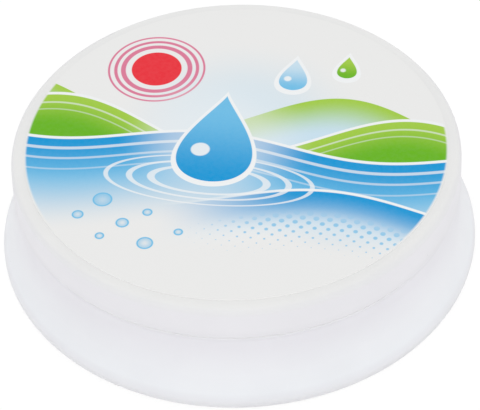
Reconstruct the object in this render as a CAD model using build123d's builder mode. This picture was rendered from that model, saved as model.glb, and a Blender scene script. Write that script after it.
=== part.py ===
"""Finger moistener: a low, flared tub of moistening wax under a push-on lid with a round label."""

import os
from math import cos, radians, sin, sqrt, tan

from build123d import *

os.makedirs("parts", exist_ok=True)

# Driving dimensions, in millimetres and degrees. The tub stands on Z = 0 and its axis is Z.

# Lid
lid_diameter = 57.6
lid_height = 5.0
lid_draft = 1.0
lid_plate = 1.1
lid_wall = 1.0
lid_edge_radius = 0.9
lid_lip_outer_radius = 0.4
lid_lip_inner_radius = 0.2

# Snap beads and plug seal between the lid and the neck
neck_bead = 0.45
lid_bead = 0.3
bead_half_height = 0.5
bead_spacing = 0.1
neck_bead_drop = 1.1
snap_clearance = 0.1
plug_wall = 0.8
plug_depth = 1.6
plug_clearance = 0.2
plug_lead_in = 0.3

# Tub
shoulder_height = 10.8
shoulder_setback = 0.3
shoulder_edge_radius = 0.3
seam_gap = 0.2
collar_height = 1.0
flare_radius = 12.0
skirt_angle = 22.6
skirt_wall = 1.1
foot_width = 2.9
foot_edge_radius = 1.4
foot_inner_radius = 0.3
hollow_roof = 3.4
neck_wall = 1.1
neck_rim_radius = 0.2
cup_draft = 1.5
cup_corner_radius = 1.5
floor_thickness = 0.9
floor_recess = 0.7
gate_dimple_diameter = 7.0
gate_dimple_depth = 0.3
gate_nub_diameter = 1.4
gate_nub_height = 0.2

# Wax and label
wax_headspace = 4.8
wax_dish = 0.4
wax_shrink = 0.1
label_margin = 0.8
label_thickness = 0.12

# Heights
lid_lip_z = shoulder_height + seam_gap
lid_top_z = lid_lip_z + lid_height
rim_z = lid_top_z - lid_plate
neck_bead_z = rim_z - neck_bead_drop
lid_bead_z = neck_bead_z - 2 * bead_half_height - bead_spacing
floor_z = floor_recess + floor_thickness
wax_z = rim_z - wax_headspace
flare_z = shoulder_height - collar_height
skirt_z = flare_z - flare_radius * sin(radians(skirt_angle))
hollow_z = shoulder_height - hollow_roof


def lid_side(z, inset=0.0):
    """Radius of the drafted lid side at height z, or of its inner face for an inset of one wall."""
    return lid_diameter / 2 - inset + (lid_top_z - z) * tan(radians(lid_draft))


# Radii
neck_radius = lid_side(lid_bead_z, lid_wall) - lid_bead - snap_clearance - neck_bead
shoulder_radius = lid_side(lid_lip_z) - shoulder_setback
skirt_radius = shoulder_radius + flare_radius * (1 - cos(radians(skirt_angle)))
foot_radius = skirt_radius + skirt_z * tan(radians(skirt_angle))
plug_radius = neck_radius - neck_wall - plug_clearance
label_radius = lid_diameter / 2 - lid_edge_radius - label_margin


def cup_side(z, outset=0.0):
    """Radius of the drafted cup at height z, or of its outer face for an outset of one wall."""
    return neck_radius - neck_wall + outset - (rim_z - z) * tan(radians(cup_draft))


def flare_side(z):
    """Radius at height z of the flare, the concave curve from the upright collar to the skirt."""
    return shoulder_radius + flare_radius - sqrt(flare_radius**2 - (flare_z - z) ** 2)


def corner(section, point):
    """The vertex of a section that lies at the given radius and height."""
    return section.vertices().sort_by_distance(point)[0]


# Tub: cup, neck with snap bead, shoulder, collar, and flared skirt that is hollow underneath
foot_corner = (foot_radius, 0)
foot_inner_corner = (foot_radius - foot_width, 0)
skirt_top = (skirt_radius, skirt_z)
collar_foot = (shoulder_radius, flare_z)
shoulder_corner = (shoulder_radius, shoulder_height)
neck_root = (neck_radius, shoulder_height)
rim_outer = (neck_radius, rim_z)
rim_inner = (cup_side(rim_z), rim_z)
cup_corner = (cup_side(floor_z), floor_z)
floor_edge = (cup_side(floor_recess, neck_wall), floor_recess)

with BuildPart() as base_tub:
    with BuildSketch(Plane.XZ) as tub_section:
        with BuildLine():
            Polyline(foot_inner_corner, foot_corner, skirt_top)
            TangentArc(collar_foot, skirt_top, tangent=(0, -1))
            Polyline(collar_foot, shoulder_corner, neck_root, (neck_radius, neck_bead_z - bead_half_height))
            ThreePointArc((neck_radius, neck_bead_z - bead_half_height),
                          (neck_radius + neck_bead, neck_bead_z),
                          (neck_radius, neck_bead_z + bead_half_height))
            Polyline((neck_radius, neck_bead_z + bead_half_height), rim_outer, rim_inner, cup_corner,
                     (0, floor_z), (0, floor_recess), floor_edge,
                     (cup_side(hollow_z, neck_wall), hollow_z),
                     (flare_side(hollow_z) - skirt_wall, hollow_z),
                     foot_inner_corner)
        make_face()
        fillet(corner(tub_section, foot_corner), foot_edge_radius)
        fillet(corner(tub_section, foot_inner_corner), foot_inner_radius)
        fillet(corner(tub_section, shoulder_corner), shoulder_edge_radius)
        fillet([corner(tub_section, rim_outer), corner(tub_section, rim_inner)], neck_rim_radius)
        fillet(corner(tub_section, cup_corner), cup_corner_radius)
    revolve(axis=Axis.Z)

    # Moulding gate in the recess under the floor
    with BuildSketch(Plane.XY.offset(floor_recess)):
        Circle(gate_dimple_diameter / 2)
    extrude(amount=gate_dimple_depth, mode=Mode.SUBTRACT)
    with BuildSketch(Plane.XY.offset(floor_recess + gate_dimple_depth)):
        Circle(gate_nub_diameter / 2)
    extrude(amount=-gate_nub_height)

base_tub.part.label = "base_tub"
export_step(base_tub.part, "parts/base_tub.step")


# Wax: cast into the cup, drawn in a little from its wall and dished in the middle
wax_corner = (cup_side(floor_z) - wax_shrink, floor_z)
wax_edge = (cup_side(wax_z) - wax_shrink, wax_z)
wax_middle = (0, wax_z - wax_dish)

with BuildPart() as wax_cake:
    with BuildSketch(Plane.XZ) as wax_section:
        with BuildLine():
            Polyline(wax_middle, (0, floor_z), wax_corner, wax_edge)
            TangentArc(wax_middle, wax_edge, tangent=(1, 0))
        make_face()
        fillet(corner(wax_section, wax_corner), cup_corner_radius)
    revolve(axis=Axis.Z)

wax_cake.part.label = "wax_cake"
export_step(wax_cake.part, "parts/wax_cake.step")


# Lid: plate, drafted side with snap bead, and plug ring that seals inside the neck
lid_edge = (lid_side(lid_top_z), lid_top_z)
lip_outer = (lid_side(lid_lip_z), lid_lip_z)
lip_inner = (lid_side(lid_lip_z, lid_wall), lid_lip_z)
lid_bead_low = lid_bead_z - bead_half_height
lid_bead_high = lid_bead_z + bead_half_height
plug_z = rim_z - plug_depth
plug_outer = (plug_radius, plug_z)
plug_inner = (plug_radius - plug_wall, plug_z)

with BuildPart() as lid:
    with BuildSketch(Plane.XZ) as lid_section:
        with BuildLine():
            Polyline((0, rim_z), (0, lid_top_z), lid_edge, lip_outer, lip_inner,
                     (lid_side(lid_bead_low, lid_wall), lid_bead_low))
            ThreePointArc((lid_side(lid_bead_low, lid_wall), lid_bead_low),
                          (lid_side(lid_bead_z, lid_wall) - lid_bead, lid_bead_z),
                          (lid_side(lid_bead_high, lid_wall), lid_bead_high))
            Polyline((lid_side(lid_bead_high, lid_wall), lid_bead_high),
                     (lid_side(rim_z, lid_wall), rim_z), (plug_radius, rim_z), plug_outer,
                     plug_inner, (plug_radius - plug_wall, rim_z), (0, rim_z))
        make_face()
        fillet(corner(lid_section, lid_edge), lid_edge_radius)
        fillet(corner(lid_section, lip_outer), lid_lip_outer_radius)
        fillet(corner(lid_section, lip_inner), lid_lip_inner_radius)
        chamfer(corner(lid_section, plug_outer), plug_lead_in)
    revolve(axis=Axis.Z)

lid.part.label = "lid"
export_step(lid.part, "parts/lid.step")


# Label: thin printed disc on the flat of the lid
with BuildPart() as lid_label:
    with BuildSketch(Plane.XY.offset(lid_top_z)):
        Circle(label_radius)
    extrude(amount=label_thickness)

lid_label.part.label = "lid_label"
export_step(lid_label.part, "parts/lid_label.step")
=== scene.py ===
"""Looks of a finger moistener: milky tub and lid, printed label and cast wax in a white studio."""

import math
from functools import partial

import bmesh
import bpy
from mathutils import Matrix, Vector, noise


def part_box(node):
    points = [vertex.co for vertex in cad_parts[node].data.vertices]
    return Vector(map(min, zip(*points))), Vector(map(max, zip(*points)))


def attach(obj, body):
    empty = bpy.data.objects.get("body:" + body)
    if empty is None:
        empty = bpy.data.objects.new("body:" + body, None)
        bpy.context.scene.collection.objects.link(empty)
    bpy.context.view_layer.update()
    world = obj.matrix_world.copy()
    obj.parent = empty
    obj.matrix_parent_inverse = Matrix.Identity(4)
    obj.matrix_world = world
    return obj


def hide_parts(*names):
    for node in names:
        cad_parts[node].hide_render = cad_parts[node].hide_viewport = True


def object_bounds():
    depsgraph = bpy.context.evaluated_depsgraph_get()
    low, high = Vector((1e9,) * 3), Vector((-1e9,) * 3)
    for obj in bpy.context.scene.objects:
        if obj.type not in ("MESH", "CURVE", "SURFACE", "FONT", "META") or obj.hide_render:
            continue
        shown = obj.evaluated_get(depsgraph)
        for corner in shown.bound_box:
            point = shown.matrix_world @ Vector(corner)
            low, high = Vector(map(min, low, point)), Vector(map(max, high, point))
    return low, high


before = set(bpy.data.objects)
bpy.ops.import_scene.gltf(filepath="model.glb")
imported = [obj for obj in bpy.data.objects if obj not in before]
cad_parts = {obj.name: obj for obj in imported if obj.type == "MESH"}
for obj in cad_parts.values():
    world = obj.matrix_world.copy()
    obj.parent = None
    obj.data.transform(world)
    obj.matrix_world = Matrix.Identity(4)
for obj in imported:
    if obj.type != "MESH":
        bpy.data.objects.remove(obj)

cad_low, cad_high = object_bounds()


def srgb(red, green, blue):
    """A colour given by its screen values from 0 to 255, as linear light with full alpha."""
    def linear(value):
        value /= 255
        return value / 12.92 if value <= 0.04045 else ((value + 0.055) / 1.055) ** 2.4
    return linear(red), linear(green), linear(blue), 1.0


MM = 0.001
WHITE = (1.0, 1.0, 1.0, 1.0)

# Camera. It looks at the middle of the lid's top from this turn and rise, and is slid across the view.
SENSOR_WIDTH = 36.0
LENS = 200.0
CAMERA_TURN = math.radians(10.0)
CAMERA_RISE = math.radians(44.24)
CAMERA_ROLL = math.radians(2.27)
CAMERA_DISTANCE = 341.0 * MM
CAMERA_SLIDE_RIGHT = 0.23 * MM
CAMERA_SLIDE_UP = -7.43 * MM
CAMERA_NEAR = 1.0 * MM

# Studio. The lamp's power is in watts, and places and sizes are in metres. The floor bounces light by its
# colour, and where it is seen it has a darker one and a glow, which add up to white outside the shadow.
HORIZON_LEVEL = 1.15
ZENITH_LEVEL = 0.80
FLOOR_SPAN = 3.0
FLOOR_COLOUR = (0.90, 0.90, 0.90, 1.0)
FLOOR_SHOWN = (0.18, 0.18, 0.18, 1.0)
FLOOR_GLOW = 0.85
KEY_PLACE = (0.08, -0.47, 0.46)
KEY_SIZE = 0.40
KEY_POWER = 0.30

# Tub. Its heights and radii follow from the boxes of the tub, the wax and the lid, and from these sizes.
# FOOT_RADIUS and FLARE_CORNER are a radius and a height of the section's corners before they are rounded.
TUB_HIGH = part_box("base_tub")[1]
WAX_LOW, WAX_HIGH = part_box("wax_cake")
RIM_HEIGHT = TUB_HIGH.z
RIM_ROUND = 0.2 * MM
NECK_WALL = 1.1 * MM
CUP_FLOOR = WAX_LOW.z
CUP_DRAFT = math.radians(1.5)
CUP_CORNER = 1.5 * MM
WAX_SHRINK = 0.1 * MM
NECK_RADIUS = WAX_HIGH.x + WAX_SHRINK + NECK_WALL + (RIM_HEIGHT - WAX_HIGH.z) * math.tan(CUP_DRAFT)
BEAD_DROP = 1.1 * MM
BEAD_MIDDLE = RIM_HEIGHT - BEAD_DROP
BEAD_HALF_HEIGHT = 0.5 * MM
BEAD_REACH = 0.45 * MM
FLOOR_RECESS = 0.7 * MM
GATE_RADIUS = 3.5 * MM
GATE_DEPTH = 0.3 * MM
NUB_RADIUS = 0.7 * MM
NUB_HEIGHT = 0.2 * MM
SEAM_GAP = 0.2 * MM
SHOULDER_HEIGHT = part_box("lid")[0].z - SEAM_GAP
SHOULDER_ROUND = 0.3 * MM
COLLAR_HEIGHT = 1.0 * MM
COLLAR_FOOT = SHOULDER_HEIGHT - COLLAR_HEIGHT
ROOF_DROP = 3.4 * MM
HOLLOW_ROOF = SHOULDER_HEIGHT - ROOF_DROP
FLARE_RADIUS = 12.0 * MM
SKIRT_ANGLE = math.radians(22.6)
SKIRT_WALL = 1.1 * MM
FOOT_WIDTH = 2.9 * MM
FOOT_ROUND = 1.4 * MM
FOOT_INNER_ROUND = 0.3 * MM
FOOT_RADIUS = TUB_HIGH.x + FOOT_ROUND * (1 / math.tan(math.pi / 4 - SKIRT_ANGLE / 2) - 1)
FLARE_CORNER = COLLAR_FOOT - FLARE_RADIUS * math.tan(SKIRT_ANGLE / 2)
SHOULDER_RADIUS = FOOT_RADIUS - FLARE_CORNER * math.tan(SKIRT_ANGLE)
FLARE_CUT = math.sqrt(FLARE_RADIUS ** 2 - (COLLAR_FOOT - HOLLOW_ROOF) ** 2)
HOLLOW_RADIUS = SHOULDER_RADIUS + FLARE_RADIUS - FLARE_CUT - SKIRT_WALL

# Turned meshes. A short lead before and after each rounding keeps the shading of the flats beside it even.
SPOKES = 192
ARC_STEP = math.radians(10)
ARC_LEAD = 0.05 * MM
SHARP_ANGLE = math.radians(30)

# Surface of the wax: a dish that climbs at the wall, with cooling ripples and rings that fade outwards
WAX_DISH = 0.4 * MM
WAX_CLIMB = 0.22 * MM
WAX_CLIMB_WIDTH = 0.9 * MM
WAX_RIPPLE = 0.035 * MM
WAX_RIPPLE_SIZE = 6.0 * MM
WAX_RIPPLE_FADE = 6
WAX_RING = 0.3 * WAX_RIPPLE
WAX_RING_WIDTH = 0.55 * MM
WAX_RING_WANDER = 1.5
WAX_WANDER_RATE = 0.6
WAX_RING_FADE = 4
WAX_MESH_RINGS = 48
WAX_MESH_CROWDING = 0.8

# Noise. A noise field varies about this middle, and nearly all of it lies in this band.
NOISE_MIDDLE = 0.5
NOISE_BAND = (0.3, 0.7)

# Wax
WAX_DEEP = srgb(241, 233, 210)
WAX_PALE = srgb(243, 237, 218)
WAX_CLOUD_SIZE = 14.0 * MM
WAX_CLOUD_BAND = (0.25, 0.75)
WAX_SMEAR_SIZE = 5.0 * MM
WAX_SMEAR_BUMP = 0.5
WAX_ROUGHNESS = (0.29, 0.37)
WAX_BUMP = 0.02 * MM
WAX_GLOW_DEPTH = 2.2 * MM
WAX_GLOW_REACH = (1.0, 0.8, 0.5)

# Milky plastic. Its tones go by height above the floor and are painted light and shade: painted shade dims
# them round the foot, beside the seam and round the lid's edge, and painted light makes them palest where
# the walls face each other in the seam or face the floor.
TUB_PAINTED_LIGHT_AND_SHADE = (
    (0.4 * MM, srgb(250, 250, 251)),
    (0.7 * MM, srgb(235, 235, 238)),
    (1.3 * MM, srgb(231, 231, 234)),
    (2.15 * MM, srgb(236, 237, 241)),
    (2.8 * MM, srgb(240, 242, 246)),
    (5.2 * MM, srgb(240, 241, 245)),
    (9.0 * MM, srgb(236, 235, 240)),
    (10.1 * MM, srgb(236, 235, 240)),
    (10.5 * MM, srgb(231, 230, 235)),
    (10.68 * MM, srgb(237, 236, 241)),
    (10.77 * MM, srgb(252, 252, 253)),
    (11.5 * MM, srgb(252, 252, 253)),
    (12.5 * MM, srgb(242, 242, 245)))
# Painted light and shade of the lid: palest under its lip, dimmer low on its wall and round its top edge,
# paler on the margin by the label
LID_PAINTED_LIGHT_AND_SHADE = (
    (11.0 * MM, srgb(252, 252, 253)),
    (11.1 * MM, srgb(236, 235, 239)),
    (11.5 * MM, srgb(232, 231, 235)),
    (12.3 * MM, srgb(235, 234, 238)),
    (14.7 * MM, srgb(235, 234, 238)),
    (15.3 * MM, srgb(233, 233, 235)),
    (15.7 * MM, srgb(232, 232, 233)),
    (15.98 * MM, srgb(237, 237, 236)))
TUB_SKIN = 0.08
TUB_MILK = 0.65
LID_SKIN = 0.05
LID_MILK = 0.05
SKIN_TINT = (0.92, 0.92, 0.925, 1.0)
MILK_DEPTH = 0.8 * MM
CLOUD_COLOUR = srgb(212, 213, 217)
CLOUD_SIZE = 9.0 * MM
CLOUD_STRENGTH = 0.1
FLECK_COLOUR = srgb(205, 206, 209)
FLECK_SPACING = 3.2 * MM
FLECK_RADIUS = 0.13 * MM
FLECK_CORE = 0.4
FLECK_SHARE = 0.16
FLECK_CUTOFF = 0.01
FLECK_STRENGTH = 0.5
FLECK_BUMP = 1.5
GRAIN_SIZE = 0.22 * MM
GRAIN_BUMP = 0.4
GRAIN_ROUGHNESS = 0.06
SCUFF_SIZE = 2.4 * MM
SCUFF_BAND = (0.35, 0.7)
SCUFF_ROUGHNESS = (0.36, 0.48)
PLASTIC_BUMP = 0.012 * MM

# Label film. Its cut side shows the unprinted film, painted paler than its top as painted light against
# the shade on that narrow side.
PAPER = srgb(238, 238, 237)
CUT_SIDE_PAINTED_LIGHT = srgb(247, 247, 246)
MOTTLE_SIZE = 0.6 * MM
MOTTLE_BAND = (0.3, 0.75)
MOTTLE_STRENGTH = 0.02
FILM_ROUGHNESS = (0.3, 0.4)
FILM_BUMP = 0.003 * MM

# Inks
MIST = srgb(203, 227, 241)
SKY = srgb(112, 192, 233)
BLUE = srgb(0, 152, 216)
GREEN = srgb(104, 182, 22)
LIME = srgb(164, 206, 68)
RED = srgb(236, 46, 58)
PINK = srgb(222, 124, 154)
PALE = srgb(243, 245, 246)

# Label design, in millimetres from the middle of the label. A wave has a level, a swing, a length and a
# start, a ring has a radius and half its line's width, and a line along a crest has a depth below it, half
# its width and a strength. A fade goes from one depth or distance to another. The print fades at the rim.
INK_EDGE = 0.07
RIM_FADE = 0.4
CUT_DEPTH = 0.005
CREST_WIDTH = 0.5
HAZE_MIDDLE = (0.0, 4.0)
HAZE_FADE = (3.0, 17.0)
HAZE_STRENGTH = 0.7
SUN = (-12.6, 13.6)
SUN_RADIUS = 3.3
SUN_RINGS = ((4.4, 0.32), (5.4, 0.22), (6.3, 0.14))
FAR_HILL = (6.2, 4.4, 44.0, 2.0)
FAR_HILL_DEPTH = 7.0
NEAR_HILL = (2.8, 4.4, 46.0, 11.0)
NEAR_HILL_DEPTH = 6.0
HILL_LINES = ((1.5, 0.16, 0.5), (2.8, 0.12, 0.35))
SEA = (0.4, 1.7, 42.0, -14.0)
SEA_LINES = ((1.7, 0.26, 0.65), (3.6, 0.2, 0.5), (5.6, 0.15, 0.35))
SEA_BLUE_DEPTH = 9.0
SEA_FADE = (5.0, 17.0)
SWELL = (-9.6, 2.6, 50.0, 0.0)
SWELL_START = (-9.0, 9.0)
SWELL_CREST_WIDTH = 0.45
SWELL_CREST_FADE = (3.0, 10.0)
SWELL_BLUE_DEPTH = 7.5
SWELL_FADE = (2.5, 8.5)
DOT_PITCH = 1.2
DOT_RADIUS = 0.5
DOT_SHRINK = (4.0, 12.0)
DOT_RISE = (3.0, 6.0)
DOT_STRENGTH = 0.75
GLOW_FADE = (4.0, 13.0)
GLOW_STRENGTH = 0.5
RIPPLE_MIDDLE = (-2.5, -6.6)
RIPPLE_RINGS = ((7.4, 0.5), (10.2, 0.4), (13.2, 0.3))
RIPPLE_FLATNESS = 3.0
RIPPLE_STRENGTH = 0.75
BUBBLES = ((-15.2, -11.6, 1.15), (-12.0, -15.4, 0.75), (-17.8, -14.6, 0.65), (-9.2, -13.2, 0.55),
           (-8.6, -18.6, 0.95), (-14.4, -18.0, 0.5), (-4.8, -16.2, 0.5))
BUBBLE_TINT = (0.15, 0.6)
BUBBLE_LINE = 0.1

# Drops of the design: middle, half width, half height and the inks of foot and tip. The inks blend between
# two heights, with the foot at -1 and the tip at 1. The shine's place and radius are shares of half sizes.
BIG_DROP = ((-2.5, 1.4), 5.4, 8.2, BLUE, SKY)
SMALL_DROPS = (
    ((5.6, 14.6), 2.1, 3.1, SKY, MIST),
    ((12.4, 16.8), 1.5, 2.2, GREEN, LIME))
DROP_TAPER = 0.75
DROP_FULLNESS = 1.3
DROP_RIM = 0.65
DROP_TIP_RIM = 1.4 * DROP_RIM
DROP_SHADING = (-1.0, 0.7)
SHINE_PLACE = (-0.36, -0.3)
SHINE_RADIUS = 0.22
SHINE_FADE = (-0.1, 0.15)
SHINE_STRENGTH = 0.9

# Places of the Mix node's colour sockets, whose names its other sockets share
MIX_UNDER = 6
MIX_OVER = 7
MIX_RESULT = 2


# Node building

def feed(tree, place, value):
    """Puts a field, a socket or a plain value into a node's input."""
    if isinstance(value, Field):
        tree.links.new(value.socket, place)
    elif isinstance(value, bpy.types.NodeSocket):
        tree.links.new(value, place)
    else:
        place.default_value = value


class Field:
    """A number that varies over a surface: a node socket that arithmetic extends with Math nodes."""

    def __init__(self, tree, socket):
        self.tree = tree
        self.socket = socket

    def apply(self, operation, *others):
        node = self.tree.nodes.new("ShaderNodeMath")
        node.operation = operation
        for place, value in zip(node.inputs, (self, *others)):
            feed(self.tree, place, value)
        return Field(self.tree, node.outputs["Value"])

    def __add__(self, other):
        return self.apply("ADD", other)

    def __sub__(self, other):
        return self.apply("SUBTRACT", other)

    def __mul__(self, other):
        return self.apply("MULTIPLY", other)

    def __truediv__(self, other):
        return self.apply("DIVIDE", other)

    def __pow__(self, other):
        return self.apply("POWER", other)

    def __neg__(self):
        return self * -1.0

    def root(self):
        return self.apply("SQRT")

    def sine(self):
        return self.apply("SINE")

    def size(self):
        return self.apply("ABSOLUTE")

    def lower(self, other):
        return self.apply("MINIMUM", other)

    def higher(self, other):
        return self.apply("MAXIMUM", other)

    def remap(self, low, high, start=0.0, end=1.0, smooth=True):
        """Goes from start to end as the field goes from low to high, and stays there beyond."""
        node = self.tree.nodes.new("ShaderNodeMapRange")
        node.interpolation_type = "SMOOTHSTEP" if smooth else "LINEAR"
        for name, value in zip(("From Min", "From Max", "To Min", "To Max"), (low, high, start, end)):
            node.inputs[name].default_value = value
        feed(self.tree, node.inputs["Value"], self)
        return Field(self.tree, node.outputs["Result"])


def blend(tree, factor, under, over):
    """Colour that goes from under to over as factor goes from 0 to 1."""
    node = tree.nodes.new("ShaderNodeMix")
    node.data_type = "RGBA"
    feed(tree, node.inputs["Factor"], factor)
    feed(tree, node.inputs[MIX_UNDER], under)
    feed(tree, node.inputs[MIX_OVER], over)
    return node.outputs[MIX_RESULT]


def new_material(name):
    """A material with its node tree, its Principled shader and the surface point in its own frame."""
    material = bpy.data.materials.new(name)
    material.use_nodes = True
    tree = material.node_tree
    place = tree.nodes.new("ShaderNodeTexCoord").outputs["Object"]
    return material, tree, tree.nodes["Principled BSDF"], place


def set_evenly(shader, values):
    """Sets sockets of a shader, by their names, to values that are the same all over the surface."""
    for name, value in values.items():
        shader.inputs[name].default_value = value


def separate(tree, place):
    """The X, Y and Z outputs of a point."""
    node = tree.nodes.new("ShaderNodeSeparateXYZ")
    feed(tree, node.inputs["Vector"], place)
    return node.outputs


def noise_field(tree, place, grain, detail=2.0, roughness=0.5):
    """Noise around its middle whose features are about grain metres across."""
    node = tree.nodes.new("ShaderNodeTexNoise")
    node.inputs["Scale"].default_value = 1.0 / grain
    node.inputs["Detail"].default_value = detail
    node.inputs["Roughness"].default_value = roughness
    feed(tree, node.inputs["Vector"], place)
    return Field(tree, node.outputs["Fac"])


def bump(tree, shader, height, distance):
    """Raises the shaded surface by a field that is worth the given distance at 1."""
    node = tree.nodes.new("ShaderNodeBump")
    node.inputs["Distance"].default_value = distance
    feed(tree, node.inputs["Height"], height)
    feed(tree, shader.inputs["Normal"], node.outputs["Normal"])


# Plastic and wax

def fleck_mask(tree, place):
    """Mask of small round flecks, each full in its core, in a share of cells of their spacing."""
    cells = tree.nodes.new("ShaderNodeTexVoronoi")
    cells.inputs["Scale"].default_value = 1.0 / FLECK_SPACING
    feed(tree, cells.inputs["Vector"], place)
    split = tree.nodes.new("ShaderNodeSeparateColor")
    feed(tree, split.inputs["Color"], cells.outputs["Color"])
    chosen = Field(tree, split.outputs["Red"]).remap(FLECK_SHARE, FLECK_SHARE + FLECK_CUTOFF, 1.0, 0.0)
    reach = FLECK_RADIUS / FLECK_SPACING
    return chosen * Field(tree, cells.outputs["Distance"]).remap(FLECK_CORE * reach, reach, 1.0, 0.0)


def painted_light_and_shade_by_height(tree, place, tones):
    """Painted light and shade: colour that passes through the given tones, pairs of height and colour from
    the lowest up.
    """
    low, high = tones[0][0], tones[-1][0]
    ramp = tree.nodes.new("ShaderNodeValToRGB")
    steps = ramp.color_ramp.elements
    steps[0].color = tones[0][1]
    steps[1].color = tones[-1][1]
    for height, colour in tones[1:-1]:
        steps.new((height - low) / (high - low)).color = colour
    feed(tree, ramp.inputs["Fac"], Field(tree, separate(tree, place)["Z"]).remap(low, high, smooth=False))
    return ramp.outputs["Color"]


def milky_plastic(name, tones, skin, milk):
    """Satin, milky polypropylene with clouds, flecks, grain and scuffs over painted light and shade by
    height, and a skin that dims its edges.
    """
    material, tree, shader, place = new_material(name)
    cloud = noise_field(tree, place, CLOUD_SIZE, detail=3.0)
    flecks = fleck_mask(tree, place)
    grain = noise_field(tree, place, GRAIN_SIZE)
    scuff = noise_field(tree, place, SCUFF_SIZE, detail=6.0, roughness=0.7)
    # Painted light and shade by height, under the clouds and flecks
    clear = painted_light_and_shade_by_height(tree, place, tones)
    cloudy = blend(tree, cloud.remap(*NOISE_BAND, CLOUD_STRENGTH, 0.0), clear, CLOUD_COLOUR)
    feed(tree, shader.inputs["Base Color"], blend(tree, flecks * FLECK_STRENGTH, cloudy, FLECK_COLOUR))
    dullness = scuff.remap(*SCUFF_BAND, *SCUFF_ROUGHNESS) + (grain - NOISE_MIDDLE) * GRAIN_ROUGHNESS
    feed(tree, shader.inputs["Roughness"], dullness)
    bump(tree, shader, grain * GRAIN_BUMP + cloud + flecks * FLECK_BUMP, PLASTIC_BUMP)
    set_evenly(shader, {
        "IOR": 1.49,
        "Subsurface Weight": milk,
        "Subsurface Radius": (1.0, 1.0, 1.0),
        "Subsurface Scale": MILK_DEPTH,
        "Coat Weight": skin,
        "Coat Tint": SKIN_TINT,
        "Coat IOR": 1.0,
        "Coat Roughness": 0.4})
    return material


def wax_material():
    """Soft translucent wax with a moist sheen and cloudy depth."""
    material, tree, shader, place = new_material("cast_wax")
    cloud = noise_field(tree, place, WAX_CLOUD_SIZE)
    smear = noise_field(tree, place, WAX_SMEAR_SIZE, detail=3.0)
    feed(tree, shader.inputs["Base Color"], blend(tree, cloud.remap(*WAX_CLOUD_BAND), WAX_DEEP, WAX_PALE))
    feed(tree, shader.inputs["Roughness"], smear.remap(*NOISE_BAND, *WAX_ROUGHNESS))
    bump(tree, shader, smear * WAX_SMEAR_BUMP + cloud, WAX_BUMP)
    set_evenly(shader, {
        "IOR": 1.45,
        "Subsurface Weight": 0.6,
        "Subsurface Radius": WAX_GLOW_REACH,
        "Subsurface Scale": WAX_GLOW_DEPTH})
    return material


# Label

class Print:
    """Inks laid one over the other on a ground."""

    def __init__(self, tree, ground):
        self.tree = tree
        self.ink = ground

    def lay(self, mask, colour):
        self.ink = blend(self.tree, mask, self.ink, colour)


def disc(x, y, middle, radius):
    """Distance outwards from a circle's edge."""
    across = x - middle[0]
    along = y - middle[1]
    return (across * across + along * along).root() - radius


def wave(x, level, swing, length, start):
    """Height of a sine wave's crest over x."""
    return ((x - start) * (2 * math.pi / length)).sine() * swing + level


def inside(distance):
    """Mask of what lies inside an outline, from the distance outwards from it."""
    return distance.remap(-INK_EDGE, INK_EDGE, 1.0, 0.0)


def line(distance, half_width, strength=1.0):
    """Mask of a printed line along an outline."""
    return distance.size().remap(half_width - INK_EDGE, half_width + INK_EDGE, strength, 0.0)


def drop(x, y, middle, half_width, half_height):
    """Mask of a water drop, round below and pointed above, and its height from -1 to 1."""
    rise = ((y - middle[1]) / half_height).higher(-1.0).lower(1.0)
    taper = ((-rise + 1.0) * 0.5) ** DROP_TAPER
    half = (-(rise * rise) + 1.0).root() * taper * half_width * DROP_FULLNESS
    return (half - (x - middle[0]).size()).remap(0.0, 2 * INK_EDGE), rise


def halftone(x, y, radius):
    """Mask of a slanted grid of dots whose radius is a field."""
    slant = math.sqrt(0.5)
    across = ((x + y) * slant).apply("PINGPONG", DOT_PITCH / 2)
    along = ((x - y) * slant).apply("PINGPONG", DOT_PITCH / 2)
    return inside((across * across + along * along).root() - radius + INK_EDGE)


def print_sun(sheet, x, y):
    """Red dot with pink rings that thin outwards."""
    sheet.lay(inside(disc(x, y, SUN, SUN_RADIUS)), RED)
    for radius, half_width in SUN_RINGS:
        sheet.lay(line(disc(x, y, SUN, radius), half_width), PINK)


def print_hills(sheet, x, y):
    """A lime hill behind a green one, which has a pale edge and fine lines along its crest."""
    far = y - wave(x, *FAR_HILL)
    sheet.lay(inside(far), blend(sheet.tree, far.remap(-FAR_HILL_DEPTH, 0.0), MIST, LIME))
    near = y - wave(x, *NEAR_HILL)
    sheet.lay(inside(near - CREST_WIDTH), PALE)
    sheet.lay(inside(near), blend(sheet.tree, near.remap(-NEAR_HILL_DEPTH, 0.0), GREEN, LIME))
    for depth, half_width, strength in HILL_LINES:
        sheet.lay(line(near + depth, half_width, strength), PALE)


def print_sea(sheet, x, y):
    """A blue sea with a pale edge and lines along its crest, which fades out below."""
    depth = wave(x, *SEA) - y
    water = blend(sheet.tree, depth.remap(0.0, SEA_BLUE_DEPTH), BLUE, SKY)
    sheet.lay(inside(-(depth + CREST_WIDTH)), PALE)
    sheet.lay(inside(-depth), blend(sheet.tree, depth.remap(*SEA_FADE), water, PAPER))
    for level, half_width, strength in SEA_LINES:
        sheet.lay(line(depth - level, half_width, strength), PALE)


def print_swell(sheet, x, y):
    """A swell in front of the sea that rises to the right and breaks into dots below."""
    depth = wave(x, *SWELL) - y
    share = x.remap(*SWELL_START)
    water = blend(sheet.tree, depth.remap(0.0, SWELL_BLUE_DEPTH), BLUE, MIST)
    crest = inside(-(depth + SWELL_CREST_WIDTH)) * share * depth.remap(*SWELL_CREST_FADE, 1.0, 0.0)
    sheet.lay(crest, PALE)
    sheet.lay(inside(-depth) * share * depth.remap(*SWELL_FADE, 1.0, 0.0), water)
    dots = halftone(x, y, depth.remap(*DOT_SHRINK, DOT_RADIUS, 0.0, smooth=False) * share)
    sheet.lay(dots * depth.remap(*DOT_RISE, 0.0, DOT_STRENGTH), SKY)


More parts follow.
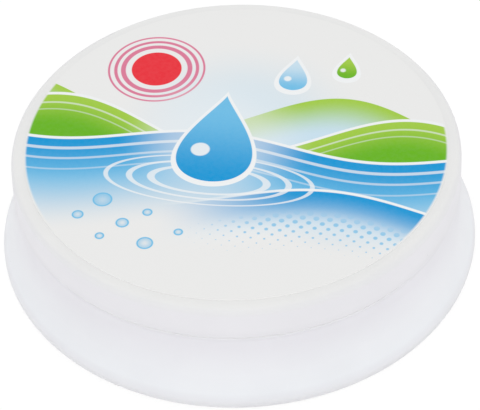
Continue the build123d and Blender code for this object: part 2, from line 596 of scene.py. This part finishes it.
def print_ripples(sheet, x, y):
    """A glow and flat rings round the place where the big drop falls."""
    sheet.lay(disc(x, y, BIG_DROP[0], 0.0).remap(*GLOW_FADE, GLOW_STRENGTH, 0.0), PALE)
    across, along = RIPPLE_MIDDLE
    for radius, half_width in RIPPLE_RINGS:
        ripple = disc(x, (y - along) * RIPPLE_FLATNESS, (across, 0.0), radius)
        sheet.lay(line(ripple, half_width, RIPPLE_STRENGTH), PALE)


def print_drop(sheet, x, y, middle, half_width, half_height, foot, tip):
    """A drop with a pale rim and a shine, in two inks that blend from its foot to its tip."""
    rim, _ = drop(x, y, middle, half_width + DROP_RIM, half_height + DROP_TIP_RIM)
    sheet.lay(rim, PALE)
    mask, rise = drop(x, y, middle, half_width, half_height)
    body = Print(sheet.tree, blend(sheet.tree, rise.remap(*DROP_SHADING), foot, tip))
    shine_middle = (middle[0] + SHINE_PLACE[0] * half_width, middle[1] + SHINE_PLACE[1] * half_height)
    shine = disc(x, y, shine_middle, SHINE_RADIUS * half_width)
    body.lay(shine.remap(*SHINE_FADE, SHINE_STRENGTH, 0.0), PALE)
    sheet.lay(mask, body.ink)


def print_bubbles(sheet, x, y):
    """Clear bubbles that are darker towards their edge."""
    for across, along, radius in BUBBLES:
        bubble = disc(x, y, (across, along), radius)
        sheet.lay(inside(bubble) * bubble.remap(-radius, 0.0, *BUBBLE_TINT), SKY)
        sheet.lay(line(bubble, BUBBLE_LINE), SKY)


def label_material():
    """Printed, varnished film: sun, hills, sea and drops in red, green and blue on a pale ground."""
    material, tree, shader, place = new_material("printed_label")
    axes = separate(tree, place)
    x = Field(tree, axes["X"]) / MM
    y = Field(tree, axes["Y"]) / MM
    z = Field(tree, axes["Z"]) / MM
    haze = disc(x, y, HAZE_MIDDLE, 0.0).remap(*HAZE_FADE, HAZE_STRENGTH, 0.0)
    sheet = Print(tree, blend(tree, haze, PAPER, MIST))
    print_sun(sheet, x, y)
    print_hills(sheet, x, y)
    print_sea(sheet, x, y)
    print_swell(sheet, x, y)
    print_ripples(sheet, x, y)
    for shape in (BIG_DROP, *SMALL_DROPS):
        print_drop(sheet, x, y, *shape)
    print_bubbles(sheet, x, y)
    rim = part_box("lid_label")[1] / MM
    sheet.lay(disc(x, y, (0.0, 0.0), rim.x).remap(-RIM_FADE, 0.0), PAPER)
    # Painted light: the film's cut side is laid paler than the paper
    sheet.lay((z - rim.z).remap(-2 * CUT_DEPTH, -CUT_DEPTH, 1.0, 0.0), CUT_SIDE_PAINTED_LIGHT)
    mottle = noise_field(tree, place, MOTTLE_SIZE, detail=4.0, roughness=0.6)
    sheet.lay(mottle.remap(*MOTTLE_BAND, MOTTLE_STRENGTH, 0.0), PALE)
    feed(tree, shader.inputs["Base Color"], sheet.ink)
    feed(tree, shader.inputs["Roughness"], mottle.remap(*NOISE_BAND, *FILM_ROUGHNESS))
    bump(tree, shader, mottle, FILM_BUMP)
    set_evenly(shader, {"IOR": 1.48, "Specular IOR Level": 0.1})
    return material


# Pieces

def rounded(corners):
    """Points of an outline, from its corners as radius, height and the rounding of the corner."""
    points = []
    for step, (radius, height, rounding) in enumerate(corners):
        corner = Vector((radius, height))
        if not rounding:
            points.append(corner)
            continue
        back = (Vector(corners[step - 1][:2]) - corner).normalized()
        ahead = (Vector(corners[step + 1][:2]) - corner).normalized()
        half = back.angle(ahead) / 2
        reach = rounding / math.tan(half)
        centre = corner + (back + ahead).normalized() * rounding / math.sin(half)
        spoke = corner + back * reach - centre
        bend = math.pi - 2 * half
        count = math.ceil(bend / ARC_STEP)
        points.append(corner + back * (reach + ARC_LEAD))
        for turn in (bend * part / count for part in range(count + 1)):
            points.append(centre + spoke * math.cos(turn) - back * rounding * math.sin(turn))
        points.append(corner + ahead * (reach + ARC_LEAD))
    return points


def ring_of(mesh, radius, height):
    """Vertices around the axis at one radius, with height a number or a function of the angle."""
    verts = []
    for step in range(SPOKES):
        angle = 2 * math.pi * step / SPOKES
        z = height(angle) if callable(height) else height
        verts.append(mesh.verts.new((radius * math.cos(angle), radius * math.sin(angle), z)))
    return verts


def add_turned(name, mesh, bottom, rings, top, material):
    """Closes rings, listed from the underside outwards and up to the top, and makes an object of them."""
    under = mesh.verts.new((0, 0, bottom))
    over = mesh.verts.new((0, 0, top))
    for here in range(SPOKES):
        there = (here + 1) % SPOKES
        mesh.faces.new((under, rings[0][there], rings[0][here]))
        for lower, upper in zip(rings, rings[1:]):
            mesh.faces.new((lower[here], lower[there], upper[there], upper[here]))
        mesh.faces.new((over, rings[-1][here], rings[-1][there]))
    data = bpy.data.meshes.new(name)
    mesh.to_mesh(data)
    mesh.free()
    data.shade_smooth()
    data.set_sharp_from_angle(angle=SHARP_ANGLE)
    data.materials.append(material)
    piece = bpy.data.objects.new(name, data)
    bpy.context.scene.collection.objects.link(piece)
    return piece


def bead_points():
    """Points of the neck's snap bead, an arc that stands out from the neck, from the lowest up."""
    radius = (BEAD_HALF_HEIGHT ** 2 + BEAD_REACH ** 2) / (2 * BEAD_REACH)
    middle = NECK_RADIUS + BEAD_REACH - radius
    half = math.asin(BEAD_HALF_HEIGHT / radius)
    count = math.ceil(2 * half / ARC_STEP)
    turns = (half * (2 * part / count - 1) for part in range(count + 1))
    return [(middle + radius * math.cos(turn), BEAD_MIDDLE + radius * math.sin(turn), 0) for turn in turns]


def tub_corners():
    """Corners of the tub's section, from its underside round the foot, skirt and neck into the cup."""
    lean = math.tan(CUP_DRAFT)
    mouth = NECK_RADIUS - NECK_WALL
    gate_roof = FLOOR_RECESS + GATE_DEPTH
    return (
        (NUB_RADIUS, gate_roof - NUB_HEIGHT, 0),
        (NUB_RADIUS, gate_roof, 0),
        (GATE_RADIUS, gate_roof, 0),
        (GATE_RADIUS, FLOOR_RECESS, 0),
        (NECK_RADIUS - (RIM_HEIGHT - FLOOR_RECESS) * lean, FLOOR_RECESS, 0),
        (NECK_RADIUS - (RIM_HEIGHT - HOLLOW_ROOF) * lean, HOLLOW_ROOF, 0),
        (HOLLOW_RADIUS, HOLLOW_ROOF, 0),
        (FOOT_RADIUS - FOOT_WIDTH, 0, FOOT_INNER_ROUND),
        (FOOT_RADIUS, 0, FOOT_ROUND),
        (SHOULDER_RADIUS, FLARE_CORNER, FLARE_RADIUS),
        (SHOULDER_RADIUS, SHOULDER_HEIGHT, SHOULDER_ROUND),
        (NECK_RADIUS, SHOULDER_HEIGHT, 0),
        *bead_points(),
        (NECK_RADIUS, RIM_HEIGHT, RIM_ROUND),
        (mouth, RIM_HEIGHT, RIM_ROUND),
        (mouth - (RIM_HEIGHT - CUP_FLOOR) * lean, CUP_FLOOR, CUP_CORNER),
        (0, CUP_FLOOR, 0))


def build_tub():
    """The tub turned about its axis, with even facets along its roundings."""
    corners = tub_corners()
    mesh = bmesh.new()
    rings = [ring_of(mesh, point.x, point.y) for point in rounded(corners)[:-1]]
    material = milky_plastic("tub_plastic", TUB_PAINTED_LIGHT_AND_SHADE, TUB_SKIN, TUB_MILK)
    piece = add_turned("tub_shell", mesh, corners[0][1], rings, CUP_FLOOR, material)
    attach(piece, "tub")
    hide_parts("base_tub")


def wax_height(radius, angle):
    """Height of the cast surface at a place given by its radius and angle."""
    share = radius / WAX_HIGH.x
    dish = -WAX_DISH * (1 - share ** 2)
    climb = max(0.0, 1 - (WAX_HIGH.x - radius) / WAX_CLIMB_WIDTH)
    spot = Vector((radius * math.cos(angle), radius * math.sin(angle), 0.0)) / WAX_RIPPLE_SIZE
    ripple = WAX_RIPPLE * noise.noise(spot) * (1 - share ** WAX_RIPPLE_FADE)
    phase = radius / WAX_RING_WIDTH + WAX_RING_WANDER * noise.noise(spot * WAX_WANDER_RATE)
    rings = WAX_RING * math.sin(phase) * (1 - share ** WAX_RING_FADE)
    return WAX_HIGH.z + dish + WAX_CLIMB * climb ** 2 + ripple + rings


def build_wax():
    """The cast cake of wax, from its underside out, up the wall and in over its surface."""
    foot_radius = WAX_HIGH.x - (WAX_HIGH.z - WAX_LOW.z) * math.tan(CUP_DRAFT)
    corners = [(0, WAX_LOW.z, 0), (foot_radius, WAX_LOW.z, CUP_CORNER), (WAX_HIGH.x, WAX_HIGH.z, 0)]
    mesh = bmesh.new()
    rings = [ring_of(mesh, point.x, point.y) for point in rounded(corners)[1:-1]]
    for step in range(WAX_MESH_RINGS, 0, -1):
        share = math.sin(0.5 * math.pi * step / WAX_MESH_RINGS) ** WAX_MESH_CROWDING
        radius = WAX_HIGH.x * share
        rings.append(ring_of(mesh, radius, partial(wax_height, radius)))
    piece = add_turned("wax_surface", mesh, WAX_LOW.z, rings, wax_height(0.0, 0.0), wax_material())
    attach(piece, "tub")
    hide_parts("wax_cake")


def dress(node, material):
    """Gives a CAD node a better material."""
    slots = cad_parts[node].data.materials
    slots.clear()
    slots.append(material)


# Studio

def look_ray(tree):
    """1 for rays that show the background: seen directly, mirrored or through something clear."""
    path = tree.nodes.new("ShaderNodeLightPath")
    seen = Field(tree, path.outputs["Is Camera Ray"])
    mirrored = Field(tree, path.outputs["Is Glossy Ray"])
    through = Field(tree, path.outputs["Is Transmission Ray"])
    return seen.higher(mirrored).higher(through)


def make_world():
    """Soft light from all round, a little stronger from the sides, that looks plain white."""
    world = bpy.data.worlds.new("white_studio")
    world.use_nodes = True
    bpy.context.scene.world = world
    tree = world.node_tree
    sky = tree.nodes["Background"]
    sky.inputs["Color"].default_value = WHITE
    rise = separate(tree, tree.nodes.new("ShaderNodeTexCoord").outputs["Generated"])["Z"]
    level = Field(tree, rise).remap(0.0, 1.0, HORIZON_LEVEL, ZENITH_LEVEL, smooth=False)
    feed(tree, sky.inputs["Strength"], level + look_ray(tree) * (-level + 1.0))


def make_floor():
    """A white floor that keeps the object's shadow."""
    data = bpy.data.meshes.new("floor")
    half = FLOOR_SPAN / 2
    corners = [(-half, -half), (half, -half), (half, half), (-half, half)]
    data.from_pydata([(x, y, cad_low.z) for x, y in corners], [], [(0, 1, 2, 3)])
    floor = bpy.data.objects.new("floor", data)
    bpy.context.scene.collection.objects.link(floor)
    material, tree, shader, _ = new_material("white_floor")
    shown = look_ray(tree)
    feed(tree, shader.inputs["Base Color"], blend(tree, shown, FLOOR_COLOUR, FLOOR_SHOWN))
    feed(tree, shader.inputs["Emission Strength"], shown * FLOOR_GLOW)
    set_evenly(shader, {"Roughness": 0.8, "Specular IOR Level": 0.0, "Emission Color": WHITE})
    data.materials.append(material)


def make_softbox(name, place, size, power):
    """A round area lamp that faces the object."""
    light = bpy.data.lights.new(name, "AREA")
    light.shape = "DISK"
    light.size = size
    light.energy = power
    lamp = bpy.data.objects.new(name, light)
    lamp.location = place
    aim = (cad_low + cad_high) / 2 - Vector(place)
    lamp.rotation_euler = aim.to_track_quat("-Z", "Y").to_euler()
    bpy.context.scene.collection.objects.link(lamp)


def make_camera():
    """The photograph's view."""
    turn, rise, roll = CAMERA_TURN, CAMERA_RISE, CAMERA_ROLL
    right = Vector((math.cos(turn), math.sin(turn), 0))
    back = Vector((math.sin(turn) * math.cos(rise), -math.cos(turn) * math.cos(rise), math.sin(rise)))
    up = back.cross(right)
    lid_top = Vector((0, 0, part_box("lid")[1].z))
    place = lid_top + CAMERA_SLIDE_RIGHT * right + CAMERA_SLIDE_UP * up + CAMERA_DISTANCE * back
    across = math.cos(roll) * right - math.sin(roll) * up
    upright = math.sin(roll) * right + math.cos(roll) * up
    camera = bpy.data.objects.new("camera", bpy.data.cameras.new("camera"))
    camera.data.sensor_width = SENSOR_WIDTH
    camera.data.lens = LENS
    camera.data.clip_start = CAMERA_NEAR
    turned = Matrix((across, upright, back)).transposed().to_4x4()
    camera.matrix_world = Matrix.Translation(place) @ turned
    bpy.context.scene.collection.objects.link(camera)
    bpy.context.scene.camera = camera


build_tub()
build_wax()
dress("lid", milky_plastic("lid_plastic", LID_PAINTED_LIGHT_AND_SHADE, LID_SKIN, LID_MILK))
dress("lid_label", label_material())
make_world()
make_floor()
make_softbox("key_softbox", KEY_PLACE, KEY_SIZE, KEY_POWER)
make_camera()
bpy.context.scene.view_settings.view_transform = "Standard"
